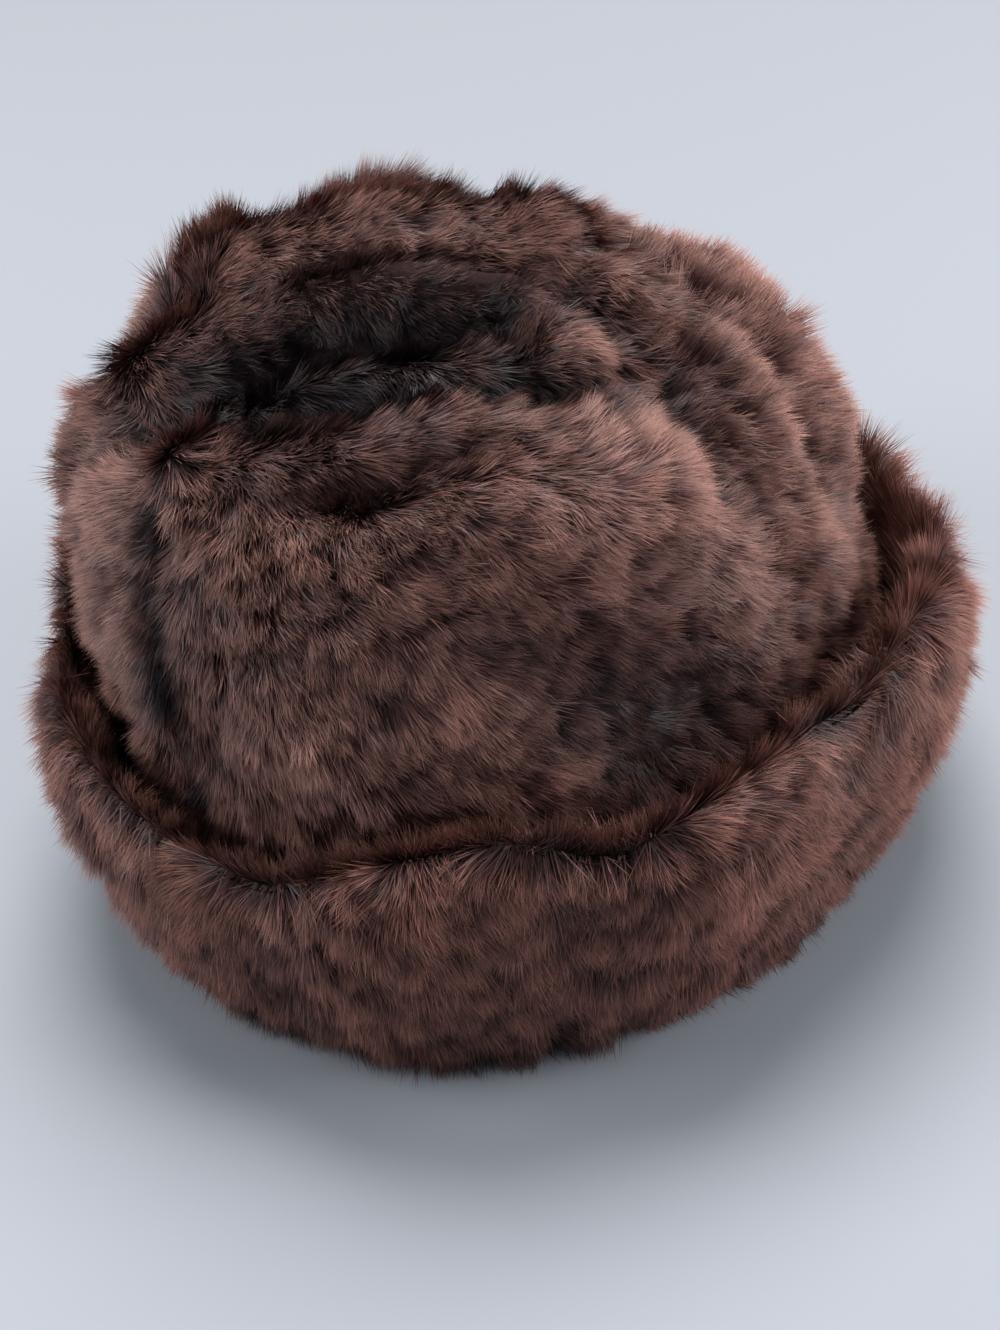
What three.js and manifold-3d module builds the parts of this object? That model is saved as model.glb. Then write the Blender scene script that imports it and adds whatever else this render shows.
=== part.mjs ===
// A deep-pile fur hat: a soft round crown with a folded, sunken top, and a wide cuff turned up all round.
// Millimetres, +Z up. The hat stands on the fold of its cuff at z = 0, centred on the Z axis.
// The wearer's face is towards -Y and the wearer's left hand is towards +X.
// Azimuths are degrees round the Z axis: 0 is the front, 90 the wearer's left, 180 the back, 270 the right.
import * as THREE from 'three';
import { mergeVertices } from 'three/addons/utils/BufferGeometryUtils.js';
import Module from 'manifold-3d';

const wasm = await Module();
wasm.setup();

// Driving sizes
const LENGTH_RATIO = 1.06; // every plan outline is an oval this much longer from front to back
const OPENING_RADIUS = 90; // half width of the head opening, for a head of about 58 cm round
const CROWN_RADIUS = 118; // half width of the crown over its fur
const CROWN_SPRING = 67; // height where the crown's dome starts
const CROWN_HEIGHT = 198; // top of the dome over its fur
const DOME_POWER = 2.25; // 2 would be an ellipse, and more is squarer
const CROWN_LEAN = new THREE.Vector2(18, 17); // how far the crown's top has slumped sideways, X and Y
const TOP_SEAM_ARC = 89; // from the middle of the top panel down to its seam, along the fur
const BAND_BOTTOM = 5; // height of the side band's lower edge, inside the cuff
const PILE = 13; // depth of the standing fur
const CLOTH = 3; // cloth that the fur grows on
const UNDERFUR = 9; // dense part of the fur that the solids hold as a closed wall
const SEAM_GAP = 0.35; // clear space between neighbouring pieces
const FUR_COLOUR = { crown: 0x4a3433, cuff: 0x3f2b29 };
const CUFF_FOOT = BAND_BOTTOM - SEAM_GAP; // thickness of the cuff's bottom fold
const CREASE_FLOOR = 0.85; // how much of a fold the inside of the wall follows
const FOLDS_END = { from: 165, to: 205 }; // the folds fade out between these distances from the top
const CROWN_COLUMNS = { top: 36, side: 48 }; // facets round each piece of the crown
const CUFF_COLUMNS = 48;
const DOME_STEPS = 400; // steps in the measured curve from the top to where the dome starts

const WALL = CLOTH + UNDERFUR;
const DEPTH = CLOTH + PILE;
const DEGREE = Math.PI / 180;

// Folds of the crown. Each row is one fold that runs through three places, each given by its azimuth
// and by its distance from the middle of the top along the fur. A rise below zero is a hollow.
const FOLDS = [
  { name: 'far ridge', rise: 6, width: 12, path: [[114, 54], [46, 30], [338, 49]] },
  { name: 'right ridge', rise: 8, width: 11, path: [[334, 52], [303, 99], [285, 150]] },
  { name: 'outer ridge', rise: 7, width: 11, path: [[352, 78], [326, 105], [310, 155]] },
  { name: 'between ridges', rise: -6, width: 8, path: [[334, 80], [314, 108], [300, 150]] },
  { name: 'inside the far ridge', rise: -4, width: 8, path: [[110, 28], [355, 19], [316, 48]] },
  { name: 'inside the right ridge', rise: -6, width: 12, path: [[310, 57], [292, 92], [279, 120]] },
  { name: 'middle ridge', rise: 5, width: 9, path: [[145, 25], [294, 11], [298, 44]] },
  { name: 'middle ridge end', rise: 8, width: 9, path: [[298, 44], [285, 64], [274, 77]] },
  { name: 'great hollow', rise: -15, width: 10, path: [[160, 55], [201, 19], [284, 40]] },
  { name: 'near ridge', rise: 3, width: 8, path: [[173, 57], [226, 36], [276, 61]] },
  { name: 'left hollow', rise: -9, width: 10, path: [[168, 73], [190, 60], [219, 50]] },
  { name: 'right of the left hollow', rise: -3, width: 7, path: [[229, 50], [246, 54], [261, 61]] },
  { name: 'near lip', rise: 3, width: 8, path: [[176, 86], [209, 71], [253, 69]] },
  { name: 'long crease', rise: -7, width: 6, path: [[207, 86], [222, 84], [238, 79]] },
  { name: 'pit', rise: -13, width: 7, path: [[269, 73], [271, 75], [273, 77]] },
  { name: 'pit fan', rise: 6, width: 17, path: [[245, 100], [252, 101], [268, 108]] },
  { name: 'back tuft', rise: 7, width: 6, path: [[162, 64], [175, 82], [181, 96]] },
  { name: 'back pit', rise: -9, width: 8, path: [[158, 80], [156, 86], [155, 92]] },
  { name: 'back left ridge', rise: 7, width: 10, path: [[140, 50], [136, 80], [140, 125]] },
  { name: 'left hollow behind', rise: -7, width: 9, path: [[118, 66], [120, 85], [122, 120]] },
  { name: 'left ridge', rise: 8, width: 11, path: [[96, 58], [100, 85], [98, 130]] },
  { name: 'left front hollow', rise: -6, width: 12, path: [[72, 70], [70, 100], [68, 135]] },
  { name: 'front left ridge', rise: 7, width: 12, path: [[45, 60], [44, 95], [46, 140]] },
  { name: 'front hollow', rise: -6, width: 12, path: [[18, 66], [15, 100], [16, 140]] },
  { name: 'side dish', rise: -6, width: 22, path: [[238, 150], [246, 158], [256, 166]] },
  { name: 'side swell', rise: 4, width: 22, path: [[200, 140], [206, 160], [214, 178]] },
];

// The broad dip where the top panel has sunk, as a row of the same kind but wide.
const SUNKEN_PAN = { rise: -14, width: 34, path: [[160, 55], [204, 36], [268, 55]] };

// The back seam of the side band, where the fur parts.
const BACK_SEAM = { azimuth: 178, depth: 4, width: 5, from: 84, to: 99 };

// The side band below the dome, down to its lower edge inside the cuff.
const BAND = [
  { radius: CROWN_RADIUS - 1, height: 47 },
  { radius: OPENING_RADIUS + DEPTH + 3, height: 23 },
  { radius: OPENING_RADIUS + DEPTH, height: BAND_BOTTOM + 8 },
  { radius: OPENING_RADIUS + DEPTH, height: BAND_BOTTOM },
];

// Where the crown's facets run round it, as distances from the middle of the top along the fur.
const TOP_RINGS = [11, 23, 34, 45, 56, 67, 78, TOP_SEAM_ARC - SEAM_GAP / 2];
const SIDE_RINGS = [TOP_SEAM_ARC + SEAM_GAP / 2, 100, 113, 128, 146, 168, 198, 232];

// The cuff round the hat. top is the height of its rolled edge and flare is how far that leans out.
const CUFF_ROUND = [
  { azimuth: 0, top: 82, flare: 2 },
  { azimuth: 30, top: 84, flare: 1 },
  { azimuth: 60, top: 87, flare: 0 },
  { azimuth: 90, top: 91, flare: 1 },
  { azimuth: 120, top: 96, flare: 2 },
  { azimuth: 138, top: 76, flare: 3 },
  { azimuth: 152, top: 87, flare: 2 },
  { azimuth: 180, top: 79, flare: 0 },
  { azimuth: 200, top: 80, flare: -1 },
  { azimuth: 225, top: 97, flare: 0 },
  { azimuth: 240, top: 91, flare: 4 },
  { azimuth: 265, top: 100, flare: 3 },
  { azimuth: 287, top: 98, flare: 4 },
  { azimuth: 305, top: 86, flare: 5 },
  { azimuth: 325, top: 75, flare: 1 },
  { azimuth: 342, top: 79, flare: 1 },
];

// The cuff's section, from the inside of its foot, out, up and over the rolled edge, and down the inside.
// radius is the half width, height a share of the rolled edge's height, lean a share of the flare, and
// foot a share of the foot's thickness. The rows below the floor are trimmed flat.
const CUFF_SECTION = [
  { radius: OPENING_RADIUS + 2, height: 0, lean: 0, foot: -0.3 },
  { radius: 122, height: 0, lean: 0, foot: -0.3 },
  { radius: 128, height: 0.1, lean: 0, foot: 0 },
  { radius: 132, height: 0.28, lean: 0.2, foot: 0 },
  { radius: 135, height: 0.52, lean: 0.6, foot: 0 },
  { radius: 135.5, height: 0.76, lean: 0.9, foot: 0 },
  { radius: 133, height: 0.93, lean: 1, foot: 0 },
  { radius: 128.5, height: 0.985, lean: 1, foot: 0 },
  { radius: 124.5, height: 0.93, lean: 1, foot: 0 },
  { radius: 122, height: 0.76, lean: 0.9, foot: 0 },
  { radius: 120, height: 0.5, lean: 0.4, foot: 0 },
  { radius: 114, height: 0.17, lean: 0, foot: 0 },
  { radius: OPENING_RADIUS + 14, height: 0, lean: 0, foot: 1 },
  { radius: OPENING_RADIUS + 2, height: 0, lean: 0, foot: 1 },
];

// The rows of the section that lie on the cuff's outside, up to the top of the roll, and on its inside.
const OUTSIDE = { foot: 1, top: 7 };
const CUFF_RADIUS = 134; // for spacing the locks round it
const LOWEST_TIP = 0.012; // share of the cuff's height that the lowest locks stop at
const FLOOR_BLOCK = { side: 500, depth: 60 };

// Lumps in the cuff's outside. Each row is one lump or dent at an azimuth and a share of the height.
const CUFF_LUMPS = [
  { azimuth: 195, height: 0.6, rise: -4, spread: 4, tall: 0.5 },
  { azimuth: 212, height: 0.8, rise: 3, spread: 12, tall: 0.3 },
  { azimuth: 236, height: 0.9, rise: -3, spread: 6, tall: 0.3 },
  { azimuth: 250, height: 0.75, rise: 4, spread: 12, tall: 0.3 },
  { azimuth: 270, height: 0.85, rise: -3, spread: 6, tall: 0.35 },
  { azimuth: 292, height: 0.6, rise: 5, spread: 12, tall: 0.4 },
  { azimuth: 330, height: 0.7, rise: 3, spread: 14, tall: 0.4 },
  { azimuth: 20, height: 0.7, rise: 2, spread: 16, tall: 0.4 },
  { azimuth: 75, height: 0.6, rise: 3, spread: 14, tall: 0.4 },
  { azimuth: 118, height: 0.75, rise: 3, spread: 10, tall: 0.3 },
  { azimuth: 160, height: 0.6, rise: 3, spread: 12, tall: 0.4 },
];

// Locks of fur on each piece. A row is a distance from the middle of the crown's top, or a share of the
// cuff's height. spread is how far a lock turns from its neighbours, in degrees.
const LOCKS = {
  crownTop: { rows: [16, 38, 60], spacing: 33, length: 32, width: 18, spread: 34, seed: 0 },
  crownSide: { rows: [99, 118, 138, 159], spacing: 36, length: 38, width: 22, spread: 34, seed: 0 },
  cuff: { rows: [1, 0.66, 0.34], spacing: 39, length: 42, width: 23, spread: 30, seed: 1000 },
};
const LOCK_SIZES = { least: 0.85, most: 1.15 }; // a lock's length and width against those above
const LOCK_KEEL = { root: 2.5, middle: 2, below: 2 }; // how far a lock stands above and below its line
const LOCK_LIMIT = TOP_SEAM_ARC - 12; // a lock of the top panel ends before the seam
const ROOT_DEPTH = 4; // a lock's root is this deep in the wall

// The lie of the fur. The top panel's lies towards one azimuth. The side band's hangs down and turns away
// from the back seam, up to left and right degrees. The cuff's hangs down and turns a little.
const NAP = { topTowards: 290, left: 45, right: 28, cuff: 14 };

// A repeatable spread of values from 0 to 1.
function scatter(index, salt) {
  const value = Math.sin(index * 12.9898 + salt * 78.233) * 43758.5453;
  return value - Math.floor(value);
}

function bell(distance, width) {
  return Math.exp(-((distance / width) ** 2));
}

function azimuthGap(a, b) {
  return ((((a - b) % 360) + 540) % 360) - 180;
}

// Smooth value of one column of a table whose rows go round the hat by azimuth.
function roundTable(rows, column, azimuth) {
  const at = ((azimuth % 360) + 360) % 360;
  const count = rows.length;
  let i = count - 1;
  while (i > 0 && rows[i].azimuth > at) i -= 1;
  const row = (k) => rows[(i + k + count) % count];
  const span = (row(1).azimuth - row(0).azimuth + 360) % 360;
  const t = ((at - row(0).azimuth + 360) % 360) / span;
  const [a, b, c, d] = [-1, 0, 1, 2].map((k) => row(k)[column]);
  return b + 0.5 * t * (c - a + t * (2 * a - 5 * b + 4 * c - d + t * (3 * (b - c) + d - a)));
}

// The crown's meridian over the fur, as even steps of arc from the top down to the band's lower edge.
function makeMeridian() {
  const rise = CROWN_HEIGHT - CROWN_SPRING;
  const points = [];
  for (let k = 0; k <= DOME_STEPS; k += 1) {
    const angle = (k / DOME_STEPS) * (Math.PI / 2);
    const radius = CROWN_RADIUS * Math.sin(angle) ** (2 / DOME_POWER);
    points.push(new THREE.Vector2(radius, CROWN_SPRING + rise * Math.cos(angle) ** (2 / DOME_POWER)));
  }
  for (const { radius, height } of BAND) points.push(new THREE.Vector2(radius, height));
  const arcs = [0];
  for (let k = 1; k < points.length; k += 1) arcs.push(arcs[k - 1] + points[k].distanceTo(points[k - 1]));
  return { points, arcs, length: arcs[arcs.length - 1] };
}

const MERIDIAN = makeMeridian();

function meridianAt(arc) {
  const { points, arcs, length } = MERIDIAN;
  const at = Math.min(Math.max(arc, 0), length);
  let low = 0;
  let high = arcs.length - 1;
  while (high - low > 1) {
    const middle = (low + high) >> 1;
    if (arcs[middle] <= at) low = middle;
    else high = middle;
  }
  const t = (at - arcs[low]) / (arcs[high] - arcs[low]);
  const place = points[low].clone().lerp(points[high], t);
  const slope = points[high].clone().sub(points[low]).normalize();
  return { radius: place.x, height: place.y, outward: -slope.y, upward: slope.x };
}

// The crown laid flat: a place's distance from the middle is its arc from the top.
function flatPlace(azimuth, arc) {
  return new THREE.Vector2(arc * Math.sin(azimuth * DEGREE), -arc * Math.cos(azimuth * DEGREE));
}

const FOLD_LINES = [...FOLDS, SUNKEN_PAN].map(({ rise, width, path }) => {
  const corners = path.map(([azimuth, arc]) => flatPlace(azimuth, arc));
  const line = new THREE.SplineCurve(corners).getPoints(12);
  return { rise, width, line };
});

function distanceToLine(place, line) {
  let nearest = Infinity;
  for (let k = 1; k < line.length; k += 1) {
    const along = line[k].clone().sub(line[k - 1]);
    const t = THREE.MathUtils.clamp(place.clone().sub(line[k - 1]).dot(along) / along.lengthSq(), 0, 1);
    nearest = Math.min(nearest, place.distanceTo(line[k - 1].clone().addScaledVector(along, t)));
  }
  return nearest;
}

// How far the folds and the back seam move the crown's fur out from its plain dome.
function foldRise(azimuth, arc) {
  const place = flatPlace(azimuth, arc);
  let rise = 0;
  for (const fold of FOLD_LINES) {
    rise += fold.rise * bell(distanceToLine(place, fold.line), fold.width);
  }
  const seamDistance = azimuthGap(azimuth, BACK_SEAM.azimuth) * DEGREE * meridianAt(arc).radius;
  const seamStart = THREE.MathUtils.smoothstep(arc, BACK_SEAM.from, BACK_SEAM.to);
  rise -= BACK_SEAM.depth * bell(seamDistance, BACK_SEAM.width) * seamStart;
  return rise * (1 - THREE.MathUtils.smoothstep(arc, FOLDS_END.from, FOLDS_END.to));
}

// A point of the crown. offset is measured outwards from the tips of the fur, so the inside of the cloth is
// at -DEPTH. follow is how much of the folds the point takes.
function crownPoint(azimuth, arc, offset, follow = 1) {
  const { radius, height, outward, upward } = meridianAt(arc);
  const push = foldRise(azimuth, arc) * follow + offset;
  const lean = Math.max(0, (height - CROWN_SPRING) / (CROWN_HEIGHT - CROWN_SPRING));
  const across = radius + outward * push;
  return new THREE.Vector3(
    across * Math.sin(azimuth * DEGREE) + CROWN_LEAN.x * lean,
    -across * LENGTH_RATIO * Math.cos(azimuth * DEGREE) + CROWN_LEAN.y * lean,
    height + upward * push,
  );
}

// A point of the cuff's section at a place along it, from 0 at the inside of the foot to the last row.
function cuffPoint(azimuth, place, offset) {
  const row = Math.min(Math.floor(place), CUFF_SECTION.length - 2);
  const t = place - row;
  const from = CUFF_SECTION[row];
  const to = CUFF_SECTION[row + 1];
  const mix = (key) => from[key] + t * (to[key] - from[key]);
  const top = roundTable(CUFF_ROUND, 'top', azimuth);
  const flare = roundTable(CUFF_ROUND, 'flare', azimuth);
  const before = CUFF_SECTION[Math.max(row + (t < 0.5 ? -1 : 0), 0)];
  const after = CUFF_SECTION[Math.min(row + (t < 0.5 ? 1 : 2), CUFF_SECTION.length - 1)];
  const runX = after.radius - before.radius;
  const runZ = (after.height - before.height) * top + (after.foot - before.foot) * CUFF_FOOT;
  const run = Math.hypot(runX, runZ) || 1;
  let push = offset;
  if (place > OUTSIDE.foot && place < OUTSIDE.top + 1) {
    for (const lump of CUFF_LUMPS) {
      const along = bell(azimuthGap(azimuth, lump.azimuth), lump.spread);
      push += lump.rise * along * bell(mix('height') - lump.height, lump.tall);
    }
  }
  const across = mix('radius') + mix('lean') * flare + (runZ / run) * push;
  return new THREE.Vector3(
    across * Math.sin(azimuth * DEGREE),
    -across * LENGTH_RATIO * Math.cos(azimuth * DEGREE),
    mix('height') * top + mix('foot') * CUFF_FOOT - (runX / run) * push,
  );
}

function solidFrom(vertices, triangles) {
  const vertProperties = new Float32Array(vertices.flatMap((v) => [v.x, v.y, v.z]));
  const mesh = new wasm.Mesh({ numProp: 3, vertProperties, triVerts: new Uint32Array(triangles) });
  return new wasm.Manifold(mesh);
}

// A closed ring-shaped solid. section(azimuth) gives its points in order, out and over and back again.
function ringSolid(columns, section) {
  const vertices = [];
  const triangles = [];
  let size = 0;
  for (let i = 0; i < columns; i += 1) {
    const loop = section((i * 360) / columns);
    size = loop.length;
    vertices.push(...loop);
  }
  for (let i = 0; i < columns; i += 1) {
    const next = (i + 1) % columns;
    for (let j = 0; j < size; j += 1) {
      const up = (j + 1) % size;
      const [a, b, c, d] = [i * size + j, next * size + j, next * size + up, i * size + up];
      triangles.push(a, b, c, a, c, d);
    }
  }
  return solidFrom(vertices, triangles);
}

// A closed cap-shaped solid: an outer and an inner face from the middle out to a shared edge.
function capSolid(columns, rings, outer, inner) {
  const vertices = [outer(0, 0), inner(0, 0)];
  const triangles = [];
  for (const face of [outer, inner]) {
    for (const arc of rings) {
      for (let i = 0; i < columns; i += 1) vertices.push(face((i * 360) / columns, arc));
    }
  }
  const at = (side, ring, i) => 2 + (side * rings.length + ring) * columns + (i % columns);
  for (let i = 0; i < columns; i += 1) {
    triangles.push(0, at(0, 0, i), at(0, 0, i + 1));
    triangles.push(1, at(1, 0, i + 1), at(1, 0, i));
    for (let ring = 0; ring < rings.length - 1; ring += 1) {
      const [a, b] = [at(0, ring, i), at(0, ring, i + 1)];
      const [c, d] = [at(0, ring + 1, i + 1), at(0, ring + 1, i)];
      triangles.push(a, d, c, a, c, b);
      const [e, f] = [at(1, ring, i), at(1, ring, i + 1)];
      const [g, h] = [at(1, ring + 1, i + 1), at(1, ring + 1, i)];
      triangles.push(e, f, g, e, g, h);
    }
    const last = rings.length - 1;
    const [p, q] = [at(0, last, i), at(0, last, i + 1)];
    const [r, s] = [at(1, last, i + 1), at(1, last, i)];
    triangles.push(p, s, r, p, r, q);
  }
  return solidFrom(vertices, triangles);
}

// A lock's own share of its length or width.
function lockSize(index, salt) {
  return THREE.MathUtils.lerp(LOCK_SIZES.least, LOCK_SIZES.most, scatter(index, salt));
}

// One lock of fur: a keeled leaf whose root is sunk in the wall and whose tip lies free on the fur.
function lockSolid(root, middle, tip, outward, width) {
  const run = tip.clone().sub(root).normalize();
  const side = run.clone().cross(outward).normalize();
  const keel = side.clone().cross(run).normalize();
  const ring = (centre, half, above) => [
    centre.clone().addScaledVector(side, half).addScaledVector(keel, -LOCK_KEEL.below),
    centre.clone().addScaledVector(side, -half).addScaledVector(keel, -LOCK_KEEL.below),
    centre.clone().addScaledVector(keel, above),
  ];
  const rootRing = ring(root, width / 3, LOCK_KEEL.root);
  const vertices = [...rootRing, ...ring(middle, width / 2, LOCK_KEEL.middle), tip];
  const triangles = [0, 1, 2];
  for (let k = 0; k < 3; k += 1) {
    const next = (k + 1) % 3;
    triangles.push(k, k + 3, next + 3, k, next + 3, next);
    triangles.push(k + 3, 6, next + 3);
  }
  const solid = solidFrom(vertices, triangles);
  return solid.volume() < 0 ? solidFrom(vertices, triangles.toReversed()) : solid;
}

// The lie of the crown's fur, as degrees turned from straight down, towards rising azimuths.
function crownNap(azimuth, arc) {
  if (arc < TOP_SEAM_ARC) return azimuthGap(NAP.topTowards, azimuth);
  const fromSeam = azimuthGap(azimuth, BACK_SEAM.azimuth);
  return THREE.MathUtils.clamp(fromSeam, -NAP.right, NAP.left) * (1 - Math.abs(fromSeam) / 240);
}

// The outer and inner faces of the crown's wall, between the locks.
const furFace = (azimuth, arc) => crownPoint(azimuth, arc, WALL - DEPTH);
const clothFace = (azimuth, arc) => crownPoint(azimuth, arc, -DEPTH, CREASE_FLOOR);

function crownLock(azimuth, arc, size, index) {
  const turn = crownNap(azimuth, arc) + size.spread * (scatter(index, 1) - 0.5);
  const length = size.length * lockSize(index, 2);
  const start = flatPlace(azimuth, arc);
  const ahead = flatPlace(azimuth + turn, 1);
  const placeAt = (share) => {
    if (arc < TOP_SEAM_ARC) {
      const place = start.clone().addScaledVector(ahead, share * length);
      return [Math.atan2(place.x, -place.y) / DEGREE, Math.min(place.length(), LOCK_LIMIT)];
    }
    const sideways = (share * length * Math.sin(turn * DEGREE)) / meridianAt(arc).radius;
    return [azimuth + sideways / DEGREE, arc + share * length * Math.cos(turn * DEGREE)];
  };
  const root = crownPoint(azimuth, arc, WALL - DEPTH - ROOT_DEPTH);
  const middle = crownPoint(...placeAt(0.5), -LOCK_KEEL.middle);
  const tip = crownPoint(...placeAt(1), -LOCK_KEEL.middle);
  const outward = crownPoint(...placeAt(0.5), 0).sub(middle);
  return lockSolid(root, middle, tip, outward, size.width * lockSize(index, 3));
}

// The locks in one row, every second row half a space on. make(azimuth, index) makes one.
function lockRow(size, row, radius, make) {
  const count = Math.max(4, Math.round((2 * Math.PI * radius) / size.spacing));
  return Array.from({ length: count }, (_, k) => {
    const index = size.seed + row * 100 + k;
    const stray = 0.3 * (scatter(index, 4) - 0.5);
    return make(((k + 0.5 * (row % 2) + stray) * 360) / count, index);
  });
}

function crownLocks(size) {
  return size.rows.flatMap((arc, row) => {
    return lockRow(size, row, meridianAt(arc).radius, (azimuth, index) => {
      return crownLock(azimuth, arc + 6 * (scatter(index, 5) - 0.5), size, index);
    });
  });
}

// Place along the cuff's section of a share of the height on its outside.
function cuffPlace(share) {
  let row = OUTSIDE.foot;
  while (row < OUTSIDE.top - 1 && CUFF_SECTION[row + 1].height < share) row += 1;
  const from = CUFF_SECTION[row];
  const to = CUFF_SECTION[row + 1];
  return row + THREE.MathUtils.clamp((share - from.height) / (to.height - from.height), 0, 1);
}

// A lock of the cuff. The top row's locks root behind the roll and hang over it.
function cuffLock(azimuth, share, size, index) {
  const top = roundTable(CUFF_ROUND, 'top', azimuth);
  const length = size.length * lockSize(index, 2);
  const turn = (NAP.cuff + size.spread * (scatter(index, 1) - 0.5)) * DEGREE;
  const turned = (part) => azimuth + (part * length * Math.sin(turn)) / CUFF_RADIUS / DEGREE;
  const lowered = (part) => cuffPlace(Math.max(share - (part * length * Math.cos(turn)) / top, LOWEST_TIP));
  const overRoll = share === 1;
  const root = cuffPoint(azimuth, overRoll ? OUTSIDE.top + 1.7 : cuffPlace(share), -3);
  const middle = cuffPoint(turned(0.5), overRoll ? OUTSIDE.top - 0.4 : lowered(0.45), LOCK_KEEL.middle);
  const tip = cuffPoint(turned(1), lowered(overRoll ? 0.5 : 1), LOCK_KEEL.root);
  const outward = cuffPoint(turned(0.5), overRoll ? OUTSIDE.top - 0.4 : lowered(0.45), 9).sub(middle);
  return lockSolid(root, middle, tip, outward, size.width * lockSize(index, 3));
}

function cuffLocks(size) {
  return size.rows.flatMap((share, row) => {
    return lockRow(size, row, CUFF_RADIUS, (azimuth, index) => cuffLock(azimuth, share, size, index));
  });
}

function fused(backing, locks) {
  return locks.reduce((body, lock) => body.add(lock), backing);
}

// A block that fills the space under the floor, to trim the cuff flat where it stands.
function floorBlock() {
  const block = new THREE.BoxGeometry(FLOOR_BLOCK.side, FLOOR_BLOCK.side, FLOOR_BLOCK.depth);
  block.translate(0, 0, -FLOOR_BLOCK.depth / 2);
  block.deleteAttribute('normal');
  block.deleteAttribute('uv');
  const welded = mergeVertices(block);
  const position = welded.getAttribute('position');
  const corners = Array.from({ length: position.count }, (_, k) => {
    return new THREE.Vector3().fromBufferAttribute(position, k);
  });
  return solidFrom(corners, [...welded.index.array]);
}

function makeCrownTop() {
  const backing = capSolid(CROWN_COLUMNS.top, TOP_RINGS, furFace, clothFace);
  return fused(backing, crownLocks(LOCKS.crownTop));
}

function makeCrownSide() {
  const arcs = [...SIDE_RINGS, MERIDIAN.length];
  const backing = ringSolid(CROWN_COLUMNS.side, (azimuth) => [
    ...arcs.toReversed().map((arc) => furFace(azimuth, arc)),
    ...arcs.map((arc) => clothFace(azimuth, arc)),
  ]);
  return fused(backing, crownLocks(LOCKS.crownSide));
}

function makeCuff() {
  const section = (azimuth) => CUFF_SECTION.map((row, place) => cuffPoint(azimuth, place, 0));
  const backing = ringSolid(CUFF_COLUMNS, section);
  return fused(backing, cuffLocks(LOCKS.cuff)).subtract(floorBlock());
}

// The triangles of the largest connected surface, so the small voids shut in under the locks are filled.
function outerShell(triangles, vertexCount) {
  const root = Array.from({ length: vertexCount }, (_, k) => k);
  const find = (k) => {
    let at = k;
    while (root[at] !== at) {
      root[at] = root[root[at]];
      at = root[at];
    }
    return at;
  };
  for (let k = 0; k < triangles.length; k += 3) {
    root[find(triangles[k])] = find(triangles[k + 1]);
    root[find(triangles[k + 1])] = find(triangles[k + 2]);
  }
  const sizes = new Map();
  for (const k of triangles) sizes.set(find(k), (sizes.get(find(k)) ?? 0) + 1);
  const [largest] = [...sizes.entries()].sort((a, b) => b[1] - a[1])[0];
  return [...triangles].filter((_, k) => find(triangles[k - (k % 3)]) === largest);
}

function toMesh(name, solid, colour) {
  const { vertProperties, triVerts, numProp } = solid.getMesh();
  const geometry = new THREE.BufferGeometry();
  const points = [];
  for (let k = 0; k < vertProperties.length; k += numProp) {
    points.push(vertProperties[k], vertProperties[k + 1], vertProperties[k + 2]);
  }
  geometry.setAttribute('position', new THREE.Float32BufferAttribute(points, 3));
  geometry.setIndex(outerShell(triVerts, points.length / 3));
  geometry.computeVertexNormals();
  const material = new THREE.MeshStandardMaterial({ color: colour, roughness: 0.9, metalness: 0 });
  const mesh = new THREE.Mesh(geometry, material);
  mesh.name = name;
  return mesh;
}

const hat = new THREE.Group();
hat.name = 'fur_hat';
hat.add(toMesh('crown_top', makeCrownTop(), FUR_COLOUR.crown));
hat.add(toMesh('crown_side', makeCrownSide(), FUR_COLOUR.crown));
hat.add(toMesh('cuff', makeCuff(), FUR_COLOUR.cuff));

export default hat;
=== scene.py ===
# %% [markdown]
# # A deep-pile fur hat with a turned-up cuff
# The hat is three pieces of fur cloth: a round top panel, a side band, and a cuff turned up all round.
# The solid model gives their places. Here each piece gets its cloth, its dark underfur and its standing fur.

# %% Load the solid model
import math

import bmesh
import bpy
import numpy as np
from mathutils import Matrix, Vector


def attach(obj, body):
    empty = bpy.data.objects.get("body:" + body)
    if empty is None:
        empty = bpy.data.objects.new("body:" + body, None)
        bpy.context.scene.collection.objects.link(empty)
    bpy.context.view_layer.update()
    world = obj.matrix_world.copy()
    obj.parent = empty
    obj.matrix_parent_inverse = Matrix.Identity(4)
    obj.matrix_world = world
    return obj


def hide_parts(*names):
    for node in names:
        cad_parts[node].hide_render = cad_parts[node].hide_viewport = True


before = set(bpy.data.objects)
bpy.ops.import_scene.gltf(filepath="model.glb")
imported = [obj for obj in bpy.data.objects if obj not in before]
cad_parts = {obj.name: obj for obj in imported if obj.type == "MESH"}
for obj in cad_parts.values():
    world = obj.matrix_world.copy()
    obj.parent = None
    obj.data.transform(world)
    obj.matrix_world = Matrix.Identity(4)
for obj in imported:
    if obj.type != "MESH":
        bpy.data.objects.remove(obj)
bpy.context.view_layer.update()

MM = 0.001
print("solid pieces:", sorted(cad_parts))

# %% [markdown]
# The crown's form comes from the same rule as the solid's: a smooth meridian, turned round an oval, and
# then pushed in and out by folds. A sculpted mesh would hold the same shape, but as a function of an azimuth
# and of a distance from the middle of the top it lets the cloth, the underfur and every strand of fur start
# from one surface. Sizes here are millimetres.

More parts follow.
